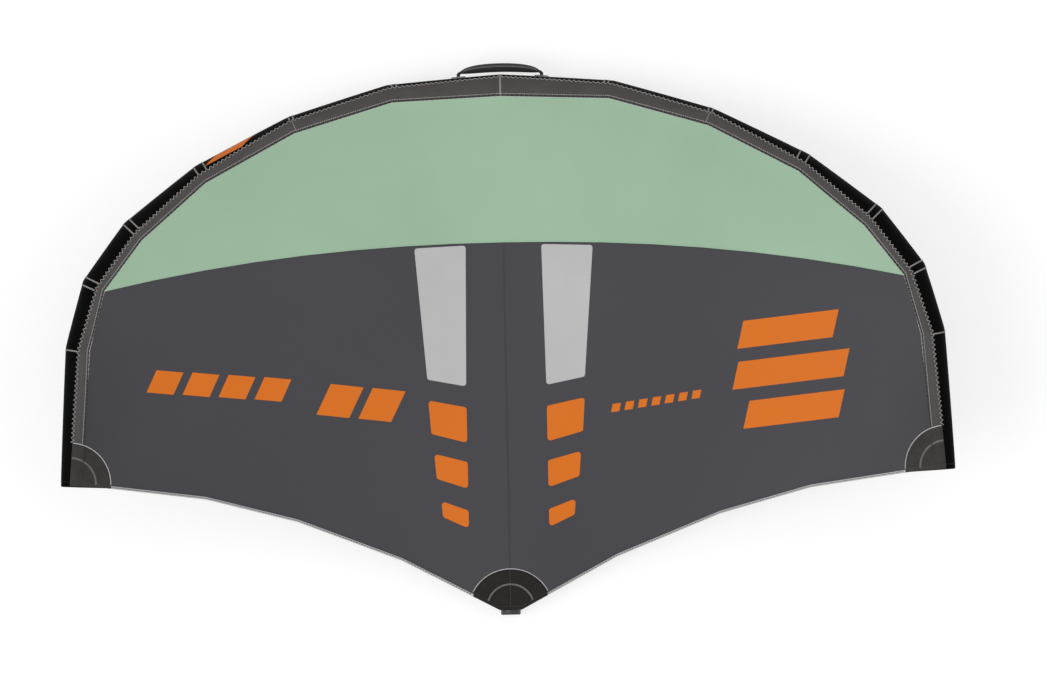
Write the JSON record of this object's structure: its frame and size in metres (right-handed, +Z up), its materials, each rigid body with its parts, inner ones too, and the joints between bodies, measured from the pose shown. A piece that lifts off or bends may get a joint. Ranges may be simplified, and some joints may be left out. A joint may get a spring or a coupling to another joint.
{
  "type": "wingfoil wing",
  "caption": "Hand-held inflatable wing with a curved leading edge tube, one strut, a sewn canopy with windows, padded handles, inflation valve and bladder zip.",
  "frame": {"origin": "under the middle of the wing, level with the lowest facets of the leading edge and the tail", "axes": "+X along the span to the right, +Y forward to the leading edge, +Z up to the canopy's upper side"},
  "size_m": [3.0572, 1.8834, 0.5007],
  "materials": {
    "casing_black": "woven polyester, matt",
    "casing_grey": "woven polyester, matt",
    "canopy_green": "ripstop, slight sheen",
    "canopy_dark": "ripstop, slight sheen",
    "accent_orange": "ripstop, slight sheen",
    "edge_tape": "folded hem tape",
    "window_film": "translucent film",
    "bladder_film": "thin polyurethane",
    "hose_clear": "soft clear hose",
    "webbing": "woven webbing",
    "grip_foam": "foam, matt",
    "moulded_black": "moulded",
    "moulded_grey": "moulded",
    "zip_metal": "satin"
  },
  "bodies": {
    "wing": {"le_section_left_1": "casing_black", "le_section_left_2": "casing_black", "le_section_left_3": "casing_black", "le_section_left_4": "casing_black", "le_section_left_5": "casing_black", "le_section_left_6": "casing_black", "le_section_left_7": "casing_black", "le_upper_panel_left": "casing_grey", "le_tip_cap_left": "casing_black", "canopy_rear_panel_left": "canopy_dark", "window_left": "window_film", "accent_block_left_1": "accent_orange", "accent_block_left_2": "accent_orange", "accent_block_left_3": "accent_orange", "tip_patch_left": "canopy_dark", "front_handle_pad_left": "webbing", "le_section_right_1": "casing_black", "le_section_right_2": "casing_black", "le_section_right_3": "casing_black", "le_section_right_4": "casing_black", "le_section_right_5": "casing_black", "le_section_right_6": "casing_black", "le_section_right_7": "casing_black", "le_upper_panel_right": "casing_grey", "le_tip_cap_right": "casing_black", "canopy_rear_panel_right": "canopy_dark", "window_right": "window_film", "accent_block_right_1": "accent_orange", "accent_block_right_2": "accent_orange", "accent_block_right_3": "accent_orange", "tip_patch_right": "canopy_dark", "front_handle_pad_right": "webbing", "canopy_front_panel": "canopy_green", "trailing_tape": "edge_tape", "tail_patch": "canopy_dark", "le_bladder": "bladder_film", "strut_bladder": "bladder_film", "strut_casing": "casing_black", "strut_end_cap": "moulded_black", "strut_webbing": "webbing", "strut_handle_strap_front": "webbing", "strut_handle_grip_front": "grip_foam", "harness_loop_front": "webbing", "strut_handle_strap_rear": "webbing", "strut_handle_grip_rear": "grip_foam", "harness_loop_rear": "webbing", "leash_loop": "webbing", "front_handle_strap": "webbing", "front_handle_grip": "grip_foam", "valve_base": "moulded_black", "zip_tape": "webbing", "hose_port_le": "moulded_black", "hose_port_strut": "moulded_black", "one_pump_hose": "hose_clear", "hose_clip_base": "moulded_grey"},
    "valve_adapter": {"valve_adapter": "moulded_grey"},
    "valve_cap": {"valve_cap": "moulded_black"},
    "zip_slider": {"zip_slider": "zip_metal"},
    "zip_pull": {"zip_pull": "zip_metal"},
    "hose_clip_jaw": {"hose_clip_jaw": "moulded_grey"}
  },
  "joints": [
    {"name": "valve_adapter_turn", "type": "hinge", "parent": "wing", "child": "valve_adapter", "pos_m": [-0.18093, 0.70481, 0.05978], "axis": [0.0602, -0.9194, -0.3887], "range_deg": [0, 90]},
    {"name": "valve_cap_swing", "type": "hinge", "parent": "wing", "child": "valve_cap", "pos_m": [-0.20491, 0.68998, 0.0541], "axis": [-0.0216, 0.3881, -0.9214], "range_deg": [0, 150]},
    {"name": "zip_slide", "type": "slide", "parent": "wing", "child": "zip_slider", "axis": [-0.998, 0.0639, 0.0035], "range_m": [0, 0.178]},
    {"name": "zip_pull_swing", "type": "hinge", "parent": "zip_slider", "child": "zip_pull", "pos_m": [0.29814, 0.69066, 0.05657], "axis": [-0.0216, -0.3881, 0.9214], "range_deg": [0, 150]},
    {"name": "hose_clip_swing", "type": "hinge", "parent": "wing", "child": "hose_clip_jaw", "pos_m": [-0.13192, 0.57998, 0.12361], "axis": [-0.1035, -0.9211, 0.3754], "range_deg": [0, 100]}
  ]
}
